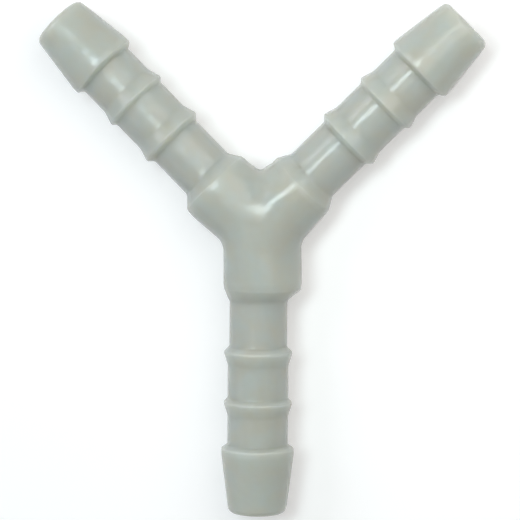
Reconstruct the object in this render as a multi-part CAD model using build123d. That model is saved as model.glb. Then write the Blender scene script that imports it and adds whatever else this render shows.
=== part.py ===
"""Tubing Y connector: one moulded piece that joins three soft tubes of the same bore.

Millimetres. The axes of the three arms lie in the XY plane and meet at the origin. The stem points
along -Y and the two branches point up to +Y, one on each side. An arm is a collar, which the three
arms share at the middle, and a hose tail: a plain neck, a few low ridges and a long end barb.
"""
import os
from math import cos, radians, sin, tan

from build123d import *

# Layout
BRANCH_ANGLE = 90.0         # between the axes of the two branches, degrees

# Radii, worked out from the tube that the tails take
TUBE_BORE = 8.0             # inside diameter of the soft tube, and the tails' root diameter
NECK_RELIEF = 0.2           # the neck's radius is this much under the root's
TAIL_WALL = 1.2             # between the neck and the bore
TIP_RELIEF = 0.2            # the tip's radius is this much under the root's
RIDGE_HEIGHT = 0.5          # of a ridge's crest over the root
END_BARB_HEIGHT = 0.8       # of the end barb's crest over the root
COLLAR_HEIGHT = 1.4         # of the collar over the neck

# Lengths along an arm, from the junction of the axes out to the tip
COLLAR_LENGTH = 8.3         # from the junction to the collar's shoulder
NECK_LENGTH = 8.3           # from the shoulder to the first ridge's crest
RIDGE_COUNT = 2
RIDGE_PITCH = 6.7           # from one ridge's crest to the next
END_BARB_GAP = 5.8          # from the last ridge's crest to the end barb's step
END_BARB_LENGTH = 8.9       # from the end barb's step to the tip
END_BARB_LAND = 1.0         # straight part of the end barb, beside its step

# Slopes, degrees from the arm's axis
SHOULDER_SLOPE = 45.0       # of the collar's cone
RIDGE_BACK_SLOPE = 45.0     # of a ridge's steep flank, which faces the collar
RIDGE_FRONT_SLOPE = 20.0    # of a ridge's gentle flank, which faces the tip

# The collars' own axes meet this far off the origin, toward +X
HUB_SHIFT = 0.4

# Softened edges and corners
COLLAR_ROUND = 0.5          # edge of the collar's shoulder
CROTCH_ROUND = 0.5          # corners where the collars meet
NECK_ROUND = 0.5            # corner where the collar's cone meets the neck
RIDGE_ROUND = 0.8           # crests of the ridges
TIP_CHAMFER = 0.4           # outer edge of the tip, which leads into the tube
MOUTH_CHAMFER = 0.3         # inner edge of the tip

root_radius = TUBE_BORE / 2
neck_radius = root_radius - NECK_RELIEF
bore_radius = neck_radius - TAIL_WALL
tip_radius = root_radius - TIP_RELIEF
ridge_radius = root_radius + RIDGE_HEIGHT
end_barb_radius = root_radius + END_BARB_HEIGHT
collar_radius = neck_radius + COLLAR_HEIGHT
first_ridge = COLLAR_LENGTH + NECK_LENGTH
end_barb_step = first_ridge + (RIDGE_COUNT - 1) * RIDGE_PITCH + END_BARB_GAP
arm_length = end_barb_step + END_BARB_LENGTH
half_angle = BRANCH_ANGLE / 2


def turned(corners):
    """A solid turned about Z from (radius, height, corner round) corners, in order up the outside."""
    points = [(radius, height) for radius, height, _ in corners]
    rounds = [corner_round for _, _, corner_round in corners]
    ends = [(0, points[-1][1]), (0, points[0][1])]
    outline = FilletPolyline(*points, *ends, radius=[*rounds, 0, 0], close=True)
    return revolve(Plane.XZ * make_face(outline), Axis.Z)


def ridge_corners(crest, foot_radius):
    """A ridge whose rounded crest is highest at the given height, rising from the given radius."""
    back = radians(RIDGE_BACK_SLOPE)
    front = radians(RIDGE_FRONT_SLOPE)
    crest_round = min(RIDGE_ROUND, 2 * RIDGE_HEIGHT)
    centre = ridge_radius - crest_round
    back_foot = crest - (crest_round - (foot_radius - centre) * cos(back)) / sin(back)
    front_foot = crest + (crest_round - (root_radius - centre) * cos(front)) / sin(front)
    reach = crest_round / cos((back + front) / 2)
    lean = (front - back) / 2
    return [
        (foot_radius, back_foot, 0),
        (centre + reach * cos(lean), crest + reach * sin(lean), crest_round),
        (root_radius, front_foot, 0),
    ]


def end_barb_corners():
    """The end barb: a square step, a short land and a long taper to the tip."""
    return [
        (root_radius, end_barb_step, 0),
        (end_barb_radius, end_barb_step, 0),
        (end_barb_radius, end_barb_step + END_BARB_LAND, 0),
        (tip_radius, arm_length - TIP_CHAMFER, 0),
        (tip_radius - TIP_CHAMFER, arm_length, 0),
    ]


def hose_tail():
    """The outside of one hose tail, along +Z from the junction."""
    corners = [(neck_radius, 0, 0)]
    foot_radius = neck_radius
    for number in range(RIDGE_COUNT):
        corners += ridge_corners(first_ridge + number * RIDGE_PITCH, foot_radius)
        foot_radius = root_radius
    return turned(corners + end_barb_corners())


def collar():
    """One collar, along +Z: a cylinder, and a cone that runs down into the neck."""
    cone_length = (collar_radius - bore_radius) / tan(radians(SHOULDER_SLOPE))
    return turned([
        (collar_radius, 0, 0),
        (collar_radius, COLLAR_LENGTH, COLLAR_ROUND),
        (bore_radius, COLLAR_LENGTH + cone_length, 0),
    ])


def bore():
    """The space inside one arm, along +Z, with its chamfered mouth."""
    mouth_radius = bore_radius + MOUTH_CHAMFER
    return turned([
        (bore_radius, 0, 0),
        (bore_radius, arm_length - MOUTH_CHAMFER, 0),
        (mouth_radius, arm_length, 0),
        (mouth_radius, arm_length + MOUTH_CHAMFER, 0),
    ])


def three_arms(upright):
    """Three copies of a solid that stands along +Z, laid down along the stem and the branches."""
    return [Rot(0, 0, turn) * Rot(-90, 0, 0) * upright for turn in (180, half_angle, -half_angle)]


def hub():
    """The three collars in one, with the corners between them rounded."""
    collars = [Pos(HUB_SHIFT, 0, 0) * each for each in three_arms(collar())]
    whole = collars[0] + collars[1:]
    return fillet(new_edges(*collars, combined=whole), CROTCH_ROUND)


def y_connector():
    """The whole fitting: the tails grow out of the hub, and the three bores open into each other."""
    middle = hub()
    tails = three_arms(hose_tail())
    body = middle + tails
    body = fillet(new_edges(middle, *tails, combined=body), NECK_ROUND)
    return body - three_arms(bore())


os.makedirs("parts", exist_ok=True)
fitting = y_connector()
export_step(fitting, "parts/y_connector.step")
print("y_connector", len(fitting.solids()), "solid", round(fitting.volume), "mm3")
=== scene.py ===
"""Looks of the tubing Y connector: milky natural plastic on a white table, in a white room.

Metres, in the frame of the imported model: the fitting lies flat, the stem points along -Y and the two
branches point up to +Y. An arm is modelled along -Y, as the stem, and a copy is turned to each place.
"""
from math import atan2, cos, hypot, pi, radians, sin, tan

import bpy
from mathutils import Matrix, Vector


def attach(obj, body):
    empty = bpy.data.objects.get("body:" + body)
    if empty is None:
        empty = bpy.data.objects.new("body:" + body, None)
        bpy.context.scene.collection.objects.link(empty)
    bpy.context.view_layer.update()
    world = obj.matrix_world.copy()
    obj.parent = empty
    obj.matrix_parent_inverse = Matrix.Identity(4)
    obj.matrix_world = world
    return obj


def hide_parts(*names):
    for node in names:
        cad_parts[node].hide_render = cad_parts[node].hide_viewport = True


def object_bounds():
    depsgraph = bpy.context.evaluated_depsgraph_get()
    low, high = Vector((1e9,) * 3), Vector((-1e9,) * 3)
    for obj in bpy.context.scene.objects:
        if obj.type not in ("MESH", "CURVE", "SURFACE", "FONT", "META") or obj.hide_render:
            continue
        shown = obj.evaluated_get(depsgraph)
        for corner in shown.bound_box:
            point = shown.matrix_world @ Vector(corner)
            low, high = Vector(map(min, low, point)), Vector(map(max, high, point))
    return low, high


MM = 0.001
TOUCH = 0.001 * MM          # points closer than this are in the same place

# One arm in millimetres: radii, and places along it from the junction of the axes out to the tip
COLLAR = 5.2
COLLAR_END = 8.3
COLLAR_CROWN = 0.12         # the collar slims by this much before its shoulder,
CROWN_LENGTH = 0.95         # over a last stretch of this length,
SHOULDER_SETBACK = 0.1      # and its cone starts this much before its end
NECK = 3.8
NECK_START = 9.7
ROOT = 4.0
RIDGE_CRESTS = (16.6, 23.3)
RIDGE_HEIGHT = 0.5
BARB = 4.8
BARB_STEP = 29.1
BARB_LEAN = 0.25            # the step leans by this much to either side of its place
BARB_LAND_END = 30.1
TIP = 3.8
TIP_END = 38.0
BORE = 2.6

# How far the collar and the bore run on past the junction, before they are cut off where the arms meet
COLLAR_SPARE = 6.0
BORE_SPARE = 5.0

# Slopes of a ridge's flanks, degrees from the arm's axis, and the rounds of its crest and its two feet
RIDGE_BACK_SLOPE = 45
RIDGE_FRONT_SLOPE = 17
RIDGE_CREST_ROUND = 0.3
RIDGE_BACK_ROUND = 0.45
RIDGE_FRONT_ROUND = 1.5

# The parting line: its rise over the skin, and its end along the arm
PARTING_RISE = 0.04
PARTING_END = 36.6

POINTS_ROUND = 128          # round an arm
LONGEST_ROW = 1.0           # of faces along a tail

# The arms: name, gap to the neighbours on the right and the left, and turn from the stem, in degrees
ARMS = (
    ("stem", 135, 135, 0),
    ("left_branch", 135, 90, -135),
    ("right_branch", 90, 135, 135),
)

# Corners between the collars: where each one points, degrees from +Y toward +X, and how wide its
# rounding is on top and at the side of the fitting
CORNERS = ((0, 1.82, 0.9), (112.5, 2.392, 0.6), (-112.5, 2.392, 0.6))
WIDEST_ROUNDING = 2.6

# What the mould leaves uneven: corners that lie a little off their place, with how far the skin round
# them follows, and shoulders that are a little slimmer or to the arm's right
CORNER_MOVES = (
    ((-4.9, -2.1, 0), (0.6, -0.1, 0), 5.5),
    ((4.9, -2.1, 0), (0.4, 0.45, 0), 5.5),
    ((0, 7.2, 0), (0.1, -0.25, 0), 4),
)
SHOULDER_MOVES = ((0, 0.05, 0.5), (-135, 0.05, 0.15), (135, 0.3, 0))

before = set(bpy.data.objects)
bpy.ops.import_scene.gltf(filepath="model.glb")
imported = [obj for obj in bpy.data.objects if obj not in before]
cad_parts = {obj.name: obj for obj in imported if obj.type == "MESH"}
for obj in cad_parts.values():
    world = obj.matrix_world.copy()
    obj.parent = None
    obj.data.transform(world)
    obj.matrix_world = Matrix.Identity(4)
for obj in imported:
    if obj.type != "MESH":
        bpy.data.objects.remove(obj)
cad_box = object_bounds()


def start_editing(thing):
    """Selects this thing alone and opens it for modelling, with nothing picked on it."""
    bpy.ops.object.select_all(action="DESELECT")
    thing.select_set(True)
    bpy.context.view_layer.objects.active = thing
    bpy.ops.object.mode_set(mode="EDIT")
    bpy.ops.mesh.select_all(action="DESELECT")


def pick_points(thing, wanted):
    """Picks the points whose place passes the test, and nothing else."""
    bpy.ops.mesh.select_mode(type="VERT")
    bpy.ops.mesh.select_all(action="DESELECT")
    bpy.ops.object.mode_set(mode="OBJECT")
    for point in thing.data.vertices:
        point.select = wanted(point.co)
    bpy.ops.object.mode_set(mode="EDIT")


def pick_edges(thing, wanted):
    """Picks the edges whose two ends pass the test, and nothing else."""
    bpy.ops.mesh.select_mode(type="EDGE")
    bpy.ops.mesh.select_all(action="DESELECT")
    bpy.ops.object.mode_set(mode="OBJECT")
    points = thing.data.vertices
    for edge in thing.data.edges:
        edge.select = wanted(points[edge.vertices[0]].co, points[edge.vertices[1]].co)
    bpy.ops.object.mode_set(mode="EDIT")


def ridge_corners(crest, foot):
    """Corners of one low ridge: a steep flank toward the collar and a long gentle one toward the tip."""
    back = radians(RIDGE_BACK_SLOPE)
    front = radians(RIDGE_FRONT_SLOPE)
    middle = ROOT + RIDGE_HEIGHT - RIDGE_CREST_ROUND
    reach = RIDGE_CREST_ROUND / cos((back + front) / 2)
    lean = (front - back) / 2
    back_foot = crest - (RIDGE_CREST_ROUND - (foot - middle) * cos(back)) / sin(back)
    front_foot = crest + (RIDGE_CREST_ROUND - (ROOT - middle) * cos(front)) / sin(front)
    return [
        (foot, back_foot, RIDGE_BACK_ROUND, 4),
        (middle + reach * cos(lean), crest + reach * sin(lean), RIDGE_CREST_ROUND, 9),
        (ROOT, front_foot, RIDGE_FRONT_ROUND, 4),
    ]


def arm_corners():
    """(radius, height, round, steps) of each corner, up the outside, over the tip and down the bore."""
    first, second = RIDGE_CRESTS
    return [
        (COLLAR, -COLLAR_SPARE, 0, 0),
        (COLLAR, COLLAR_END - CROWN_LENGTH, 3.5, 6),
        (COLLAR - COLLAR_CROWN, COLLAR_END - SHOULDER_SETBACK, 0.4, 5),
        (NECK, NECK_START, 0.8, 6),
        *ridge_corners(first, NECK),
        *ridge_corners(second, ROOT),
        (ROOT, BARB_STEP - BARB_LEAN, 0.35, 5),
        (BARB, BARB_STEP + BARB_LEAN, 0.28, 5),
        (BARB, BARB_LAND_END, 3.0, 3),
        (TIP, TIP_END, 0.85, 8),
        (BORE, TIP_END, 0.35, 5),
        (BORE, -BORE_SPARE, 0, 0),
    ]


def turned_arm():
    """One whole arm, drawn out ring by ring along -Y, then its corners rounded."""
    corners = arm_corners()
    radius, height = corners[0][0], corners[0][1]
    bpy.ops.object.select_all(action="DESELECT")
    bpy.ops.mesh.primitive_circle_add(
        vertices=POINTS_ROUND,
        radius=radius * MM,
        fill_type="NOTHING",
        location=(0, -height * MM, 0),
        rotation=(radians(90), 0, 0),
    )
    arm = bpy.context.active_object
    arm.name = "arm"
    bpy.ops.object.transform_apply(location=True, rotation=True, scale=True)
    bpy.ops.object.mode_set(mode="EDIT")
    bpy.ops.mesh.select_all(action="SELECT")
    for next_radius, next_height, _, _ in corners[1:]:
        bpy.ops.mesh.extrude_region_move(
            TRANSFORM_OT_translate={"value": (0, -(next_height - height) * MM, 0)}
        )
        if next_radius != radius:
            grow = next_radius / radius
            bpy.ops.transform.resize(value=(grow, 1, grow), center_override=(0, -next_height * MM, 0))
        radius, height = next_radius, next_height
    for before, corner, after in zip(corners, corners[1:], corners[2:]):
        corner_radius, corner_height, corner_round, steps = corner
        come_in = atan2(corner_radius - before[0], corner_height - before[1])
        go_out = atan2(after[0] - corner_radius, after[1] - corner_height)
        turn = abs((go_out - come_in + pi) % (2 * pi) - pi)
        round_ring(arm, corner_radius, corner_height, corner_round * tan(turn / 2), steps)
    bpy.ops.object.mode_set(mode="OBJECT")
    return arm


def round_ring(arm, radius, height, cut, steps):
    """Rounds the sharp ring of that radius at that height."""
    def on_ring(place):
        return (
            abs(place.y + height * MM) < 2 * TOUCH
            and abs(hypot(place.x, place.z) - radius * MM) < 10 * TOUCH
        )

    pick_edges(arm, lambda start, end: on_ring(start) and on_ring(end))
    bpy.ops.mesh.bevel(offset_type="OFFSET", offset=cut * MM, segments=steps, profile=0.5, affect="EDGES")


def even_rows(arm):
    """Divides the tail's long edges that run out to the tip, so that its rows of faces are even."""
    tail_start = -(NECK_START - 0.1) * MM
    least_along = 0.6
    same_length = 0.02

    def length_along(start, end):
        """In millimetres, and 0 for an edge that is left as it is."""
        length = (end - start).length
        runs_out = abs(end.y - start.y) > least_along * length and max(start.y, end.y) < tail_start
        return round(length / MM, 2) if runs_out else 0

    points = arm.data.vertices
    lengths = {length_along(*(points[number].co for number in edge.vertices)) for edge in arm.data.edges}
    for length in sorted(lengths):
        if length > LONGEST_ROW:
            pick_edges(arm, lambda start, end: abs(length_along(start, end) - length) < same_length)
            bpy.ops.mesh.subdivide(number_cuts=int(length / LONGEST_ROW))


def parting_line(arm):
    """A hair-thin raised line down both sides of the arm, where the two halves of the mould meet."""
    inside_skin = (BORE + TIP) / 2 * MM
    for side in (1, -1):
        pick_points(
            arm,
            lambda place: abs(place.z) < TOUCH
            and side * place.x > inside_skin
            and place.y > -PARTING_END * MM,
        )
        bpy.ops.transform.translate(value=(side * PARTING_RISE * MM, 0, 0))


def placed_arm(arm, name, right_gap, left_gap, turn):
    """A copy of the arm, cut off where it meets its neighbours and turned to its place.

    A gap is the angle between this arm and its neighbour on that side, seen from above with the
    arm pointing down.
    """
    bpy.ops.object.select_all(action="DESELECT")
    arm.select_set(True)
    bpy.context.view_layer.objects.active = arm
    bpy.ops.object.duplicate()
    placed = bpy.context.active_object
    placed.name = name
    start_editing(placed)
    for side, gap in ((1, right_gap), (-1, left_gap)):
        bpy.ops.mesh.select_all(action="SELECT")
        half = radians(gap / 2)
        bpy.ops.mesh.bisect(
            plane_co=(0, 0, 0),
            plane_no=(side * cos(half), sin(half), 0),
            clear_outer=True,
            threshold=TOUCH / 10,
        )
    bpy.ops.object.mode_set(mode="OBJECT")
    placed.rotation_euler = (0, 0, radians(turn))
    bpy.ops.object.transform_apply(location=True, rotation=True, scale=True)
    return placed


def joined(pieces, name):
    """The pieces as one mesh, welded where they touch."""
    bpy.ops.object.select_all(action="DESELECT")
    for piece in pieces:
        piece.select_set(True)
    bpy.context.view_layer.objects.active = pieces[0]
    bpy.ops.object.join()
    whole = bpy.context.active_object
    whole.name = name
    start_editing(whole)
    bpy.ops.mesh.select_all(action="SELECT")
    bpy.ops.mesh.remove_doubles(threshold=2 * TOUCH)
    bpy.ops.mesh.normals_make_consistent(inside=False)
    bpy.ops.object.mode_set(mode="OBJECT")
    return whole


def soften_junction(fitting):
    """Rounds the corners where the collars run into each other, wide on top and tight at the sides."""
    inside_skin, past_corners = 5 * MM, 9 * MM

    def on_corner(place, ahead):
        level = Vector((place.x, place.y, 0))
        if place.length < inside_skin or place.length > past_corners:
            return False
        return level.cross(ahead).length < TOUCH and level.dot(ahead) > -TOUCH

    bpy.ops.object.select_all(action="DESELECT")
    fitting.select_set(True)
    bpy.context.view_layer.objects.active = fitting
    points = fitting.data.vertices
    share = fitting.data.attributes.new("bevel_weight_edge", "FLOAT", "EDGE")
    for angle, top_width, side_width in CORNERS:
        ahead = Vector((sin(radians(angle)), cos(radians(angle)), 0))
        for edge in fitting.data.edges:
            start, end = (points[number].co for number in edge.vertices)
            if on_corner(start, ahead) and on_corner(end, ahead):
                rise = abs(start.z + end.z) / 2 / (COLLAR * MM)
                ease = rise * rise * (3 - 2 * rise)
                width = side_width + (top_width - side_width) * ease
                share.data[edge.index].value = width / WIDEST_ROUNDING
    bpy.ops.object.modifier_add(type="BEVEL")
    rounding = fitting.modifiers[-1]
    rounding.limit_method = "WEIGHT"
    rounding.offset_type = "OFFSET"
    rounding.width = WIDEST_ROUNDING * MM
    rounding.segments = 10
    rounding.profile = 0.5
    bpy.ops.object.modifier_apply(modifier=rounding.name)


def nudge_corner(fitting, place, shift, reach):
    """Draws one outer corner of the junction to the side, and the skin round it along with it."""
    outside_bores = 4.5 * MM
    nearest = min(
        (point for point in fitting.data.vertices if point.co.length > outside_bores),
        key=lambda point: (point.co - Vector(place) * MM).length,
    ).co.copy()
    pick_points(fitting, lambda point: (point - nearest).length < TOUCH)
    bpy.ops.transform.translate(
        value=Vector(shift) * MM,
        use_proportional_edit=True,
        use_proportional_connected=True,
        proportional_edit_falloff="SMOOTH",
        proportional_size=reach * MM,
    )


def settle_shoulder(fitting, turn, slimmer, sideways):
    """Makes the collar of the arm with that turn slimmer at its shoulder, and moves it to the right."""
    ahead = Vector((sin(radians(turn)), -cos(radians(turn)), 0))
    across = Vector((0, 0, 1)).cross(ahead)
    first, last, outside_neck = 6.3 * MM, 8.5 * MM, 4.5 * MM

    def on_shoulder(place):
        height = place.dot(ahead)
        return first < height < last and (place - height * ahead).length > outside_neck

    pick_points(fitting, on_shoulder)
    keep = 1 - slimmer / COLLAR
    bpy.ops.transform.resize(value=(keep, keep, keep), center_override=ahead * COLLAR_END * MM)
    bpy.ops.transform.translate(value=across * sideways * MM)


def collar_rows(fitting):
    """Divides the long faces that run from the junction out to the shoulders."""
    outside_bores, past_shoulders, longest = 4.2 * MM, 10.2 * MM, 1.5 * MM
    pick_edges(
        fitting,
        lambda start, end: (end - start).length > longest
        and min(start.length, end.length) > outside_bores
        and max(start.length, end.length) < past_shoulders,
    )
    bpy.ops.mesh.subdivide(number_cuts=4)


def moulded_y():
    """The whole fitting as one closed skin."""
    arm = turned_arm()
    start_editing(arm)
    even_rows(arm)
    parting_line(arm)
    bpy.ops.object.mode_set(mode="OBJECT")
    arms = [placed_arm(arm, *place) for place in ARMS]
    bpy.data.objects.remove(arm)
    whole = joined(arms, "moulded_y")
    soften_junction(whole)
    start_editing(whole)
    for corner, shift, reach in CORNER_MOVES:
        nudge_corner(whole, corner, shift, reach)
    for turn, slimmer, sideways in SHOULDER_MOVES:
        settle_shoulder(whole, turn, slimmer, sideways)
    collar_rows(whole)
    bpy.ops.object.mode_set(mode="OBJECT")
    bpy.ops.object.shade_smooth()
    return whole


def new_material(name):
    """A new material, with its shader."""
    material = bpy.data.materials.new(name)
    material.use_nodes = True
    return material, material.node_tree.nodes["Principled BSDF"]


def milky_plastic():
    """Natural polypropylene: pale grey-green, a little translucent, with a soft moulded gloss."""
    material, shader = new_material("milky_plastic")
    nodes = material.node_tree.nodes
    links = material.node_tree.links
    shader.inputs["IOR"].default_value = 1.49
    shader.inputs["Subsurface Weight"].default_value = 1.0
    shader.inputs["Subsurface Radius"].default_value = (1.0, 1.0, 0.9)
    shader.inputs["Subsurface Scale"].default_value = 5.0 * MM
    shader.inputs["Subsurface Anisotropy"].default_value = 0.8
    place = nodes.new("ShaderNodeTexCoord").outputs["Object"]

    def cloudy(size, detail):
        """Soft patches of about that size, in millimetres."""
        noise = nodes.new("ShaderNodeTexNoise")
        noise.inputs["Scale"].default_value = 1 / (size * MM)
        noise.inputs["Detail"].default_value = detail
        links.new(place, noise.inputs["Vector"])
        return noise.outputs["Fac"]

    milk = nodes.new("ShaderNodeValToRGB")
    milk.label = "warmer to cooler milk"
    warmer, cooler = milk.color_ramp.elements
    warmer.position = 0.34
    warmer.color = (0.457, 0.462, 0.407, 1)
    cooler.position = 0.66
    cooler.color = (0.443, 0.479, 0.447, 1)
    links.new(cloudy(3.0, 3), milk.inputs["Fac"])
    links.new(milk.outputs["Color"], shader.inputs["Base Color"])

    gloss = nodes.new("ShaderNodeMapRange")
    gloss.label = "worn gloss"
    gloss.inputs["From Min"].default_value = 0.3
    gloss.inputs["From Max"].default_value = 0.7
    gloss.inputs["To Min"].default_value = 0.20
    gloss.inputs["To Max"].default_value = 0.27
    links.new(cloudy(2.2, 3), gloss.inputs["Value"])
    links.new(gloss.outputs["Result"], shader.inputs["Roughness"])

    waves = nodes.new("ShaderNodeBump")
    waves.label = "waves of the mould's polish"
    waves.inputs["Strength"].default_value = 1.0
    waves.inputs["Distance"].default_value = 0.06 * MM
    links.new(cloudy(1.8, 1), waves.inputs["Height"])
    links.new(waves.outputs["Normal"], shader.inputs["Normal"])
    return material


def seen_directly(tree):
    """1 for a ray that the camera sends, also by way of a reflection, and 0 for one that only lights."""
    rays = tree.nodes.new("ShaderNodeLightPath").outputs
    seen = rays["Is Camera Ray"]
    for kind in ("Is Glossy Ray", "Is Transmission Ray"):
        either = tree.nodes.new("ShaderNodeMath")
        either.operation = "MAXIMUM"
        tree.links.new(seen, either.inputs[0])
        tree.links.new(rays[kind], either.inputs[1])
        seen = either.outputs[0]
    return seen


def white_table(height):
    """A pale floor that reads as white to the camera and keeps the shadow of what lies on it."""
    bpy.ops.object.select_all(action="DESELECT")
    bpy.ops.mesh.primitive_plane_add(size=6, location=(0, 0, height))
    table = bpy.context.active_object
    table.name = "white_table"
    material, shader = new_material("table_white")
    shader.inputs["Base Color"].default_value = (0.8, 0.8, 0.8, 1)
    shader.inputs["Roughness"].default_value = 0.9
    shader.inputs["Emission Color"].default_value = (1, 1, 1, 1)
    lift = material.node_tree.nodes.new("ShaderNodeMath")
    lift.label = "lift to white"
    lift.operation = "MULTIPLY"
    lift.inputs[1].default_value = 0.3
    material.node_tree.links.new(seen_directly(material.node_tree), lift.inputs[0])
    material.node_tree.links.new(lift.outputs[0], shader.inputs["Emission Strength"])
    table.data.materials.append(material)


def soft_room(strength):
    """Even light from all round, from walls that look white."""
    world = bpy.data.worlds.new("soft_room")
    bpy.context.scene.world = world
    world.use_nodes = True
    tree = world.node_tree
    walls = tree.nodes["Background"]
    walls.inputs["Color"].default_value = (1, 1, 1, 1)
    shown = tree.nodes.new("ShaderNodeMapRange")
    shown.label = "dim as a light, white to the eye"
    shown.inputs["To Min"].default_value = strength
    shown.inputs["To Max"].default_value = 1.0
    tree.links.new(seen_directly(tree), shown.inputs["Value"])
    tree.links.new(shown.outputs["Result"], walls.inputs["Strength"])


def soft_lamp(name, place, size, radiance, tint, long_way=(0, 1, 0)):
    """A rectangular lamp that faces the fitting; its second side runs the long way."""
    lamp_data = bpy.data.lights.new(name, "AREA")
    lamp_data.shape = "RECTANGLE"
    lamp_data.size, lamp_data.size_y = size
    lamp_data.energy = radiance * pi * size[0] * size[1]
    lamp_data.color = tint
    lamp = bpy.data.objects.new(name, lamp_data)
    bpy.context.scene.collection.objects.link(lamp)
    back = Vector(place).normalized()
    side = Vector(long_way).cross(back).normalized()
    up = back.cross(side)
    lamp.matrix_world = Matrix.Translation(place) @ Matrix((side, up, back)).transposed().to_4x4()
    lamp.visible_camera = False


def view_camera(place, aim, roll, lens):
    """The camera, over the fitting and a little to its right."""
    camera_data = bpy.data.cameras.new("view_camera")
    camera_data.lens = lens
    camera_data.sensor_width = 36
    camera_data.clip_start = 0.01
    camera_data.clip_end = 20
    camera = bpy.data.objects.new("view_camera", camera_data)
    bpy.context.scene.collection.objects.link(camera)
    ahead = (Vector(aim) - Vector(place)).normalized()
    right = ahead.cross(Vector((sin(roll), cos(roll), 0))).normalized()
    up = right.cross(ahead)
    facing = Matrix((right, up, -ahead)).transposed().to_4x4()
    camera.matrix_world = Matrix.Translation(place) @ facing
    bpy.context.scene.camera = camera


fitting = moulded_y()
fitting.data.materials.append(milky_plastic())
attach(fitting, "root")
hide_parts("y_connector")

white_table(cad_box[0][2])
soft_room(0.2)
soft_lamp(
    "window",
    place=(-0.099, 0.099, 0.480),
    size=(0.11, 0.22),
    radiance=12.0,
    tint=(0.86, 1.0, 1.02),
    long_way=(1, 1, 0),
)
soft_lamp(
    "side_window",
    place=(-0.35, 0.17, 0.31),
    size=(0.24, 0.26),
    radiance=3.1,
    tint=(1.0, 0.98, 1.06),
)
soft_lamp(
    "overhead_panel",
    place=(0.072, 0.060, 0.129),
    size=(0.14, 0.16),
    radiance=1.8,
    tint=(1.04, 1.0, 0.96),
    long_way=(2, 1, 0),
)
view_camera(
    place=(34.15 * MM, 22.40 * MM, 301.97 * MM),
    aim=(0.157 * MM, -4.364 * MM, 0),
    roll=-0.0074,
    lens=160.5,
)

bpy.context.scene.view_settings.view_transform = "Standard"
